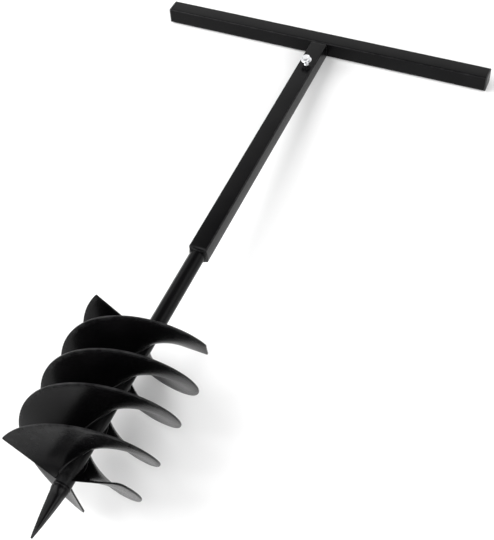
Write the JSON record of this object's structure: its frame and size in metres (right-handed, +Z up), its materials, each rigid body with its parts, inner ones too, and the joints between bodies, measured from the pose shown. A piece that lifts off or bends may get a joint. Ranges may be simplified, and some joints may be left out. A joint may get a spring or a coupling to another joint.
{
  "type": "soil auger",
  "caption": "Hand-turned soil auger: spiral flights on a round shaft, a square stem and a T-handle held by a clamp screw.",
  "frame": {"origin": "bottom centre of the bounding box, on the floor that the auger lies on", "axes": "+Z up from the floor; +Y from the spike's tip towards the handle, along the floor; +X along the handle bar, to the right seen from the tip with the clamp screw up. The auger's own axis runs in the Y-Z plane, 6.7 degrees down from the tip towards the handle."},
  "size_m": [0.616, 1.0414, 0.2234],
  "materials": {
    "black_coat": "black powder coat, satin",
    "weld_coat": "black powder coat over weld beads",
    "black_plastic": "moulded black plastic",
    "zinc_plate": "bright zinc plate"
  },
  "bodies": {
    "auger": {"stem_tube": "black_coat", "stem_collar_weld": "weld_coat", "shaft_tube": "black_coat", "spike": "black_coat", "spike_weld": "weld_coat", "flight_a": "black_coat", "flight_a_weld_tip_side": "weld_coat", "flight_a_weld_handle_side": "weld_coat", "flight_b": "black_coat", "flight_b_weld_tip_side": "weld_coat", "flight_b_weld_handle_side": "weld_coat", "flight_c": "black_coat", "flight_c_weld_tip_side": "weld_coat", "flight_c_weld_handle_side": "weld_coat"},
    "handle": {"handle_bar": "black_coat", "bar_cap_right": "black_plastic", "bar_cap_left": "black_plastic", "handle_stub": "black_coat", "stub_weld": "weld_coat"},
    "screw": {"clamp_screw": "zinc_plate"}
  },
  "joints": [
    {"name": "handle_slide", "type": "slide", "parent": "auger", "child": "handle", "axis": [0, 0.9931, -0.117], "range_m": [0, 0.1]},
    {"name": "screw_turn", "type": "hinge", "parent": "auger", "child": "screw", "pos_m": [0, 0.42625, 0.04564], "axis": [0, 0.117, 0.9931], "continuous": true}
  ]
}
